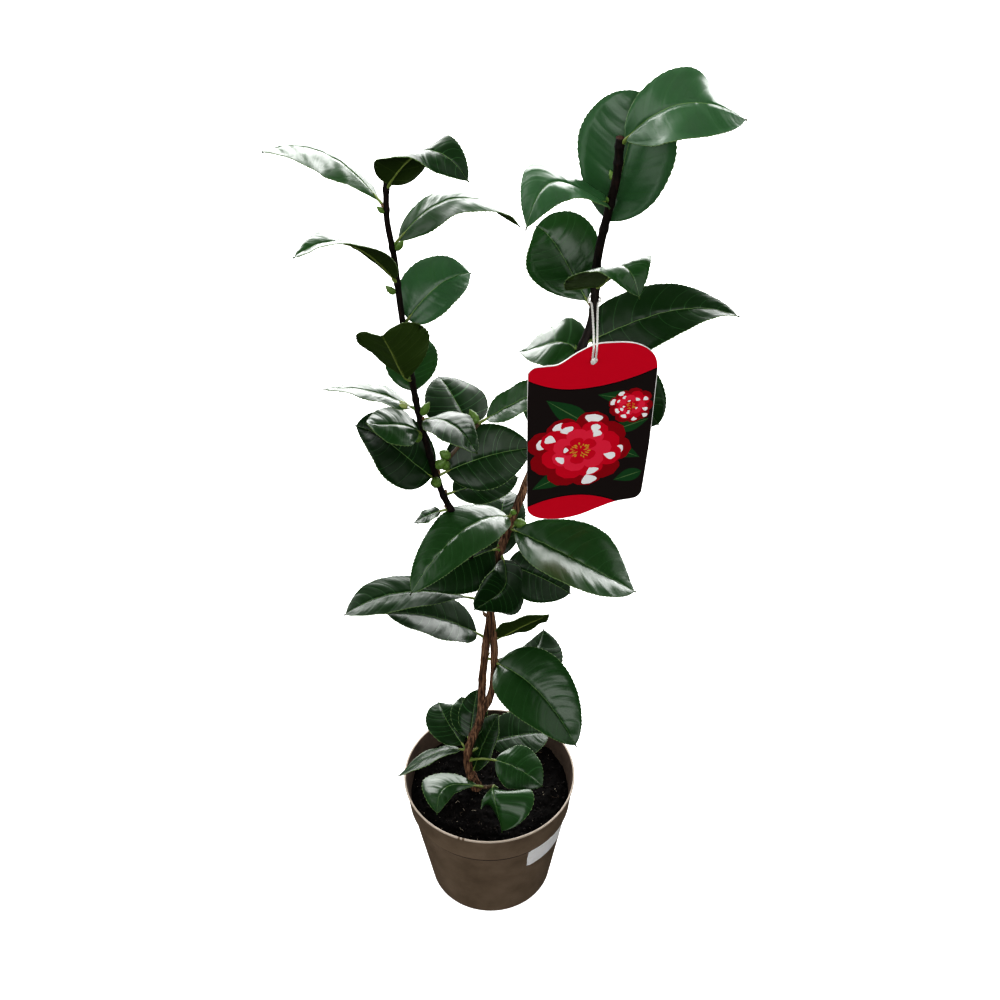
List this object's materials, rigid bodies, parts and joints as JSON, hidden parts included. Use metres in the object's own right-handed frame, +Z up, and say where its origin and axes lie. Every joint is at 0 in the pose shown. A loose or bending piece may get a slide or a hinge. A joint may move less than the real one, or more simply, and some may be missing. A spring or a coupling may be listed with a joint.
{
  "type": "potted camellia shrub",
  "caption": "Young camellia shrub with two boughs and glossy evergreen leaves, standing in a tapered plastic nursery pot with a picture tag on a string.",
  "frame": {"origin": "centre of the pot's flat underside", "axes": "+Z up along the plant, -Y towards the front where the tag faces"},
  "size_m": [0.3064, 0.1715, 0.7673],
  "materials": {
    "foliage": "glossy dark green leaves",
    "bark": "thin brown bark",
    "pot": "matte moulded taupe plastic",
    "compost": "damp dark compost",
    "tag": "printed glossy card",
    "string": "white twisted string"
  },
  "bodies": {
    "root": {"pot": "pot", "compost": "compost", "trunk": "bark", "left_bough": "bark", "right_bough": "bark", "tag": "tag", "tag_string": "string", "left_tip_leaves": "foliage", "left_upper_leaves": "foliage", "left_middle_leaves": "foliage", "left_fork_leaves": "foliage", "left_shoulder_leaves": "foliage", "left_elbow_leaves": "foliage", "left_knee_leaves": "foliage", "centre_upper_leaves": "foliage", "centre_lower_leaves": "foliage", "low_left_leaf": "foliage", "low_front_left_leaf": "foliage", "low_right_leaf": "foliage", "low_back_leaf": "foliage", "low_front_leaf": "foliage", "foot_back_leaves": "foliage", "foot_leaves": "foliage", "right_tip_leaves": "foliage", "right_upper_leaves": "foliage", "right_middle_leaves": "foliage", "right_side_leaf": "foliage", "right_waist_leaves": "foliage", "right_back_leaves": "foliage"}
  },
  "joints": []
}
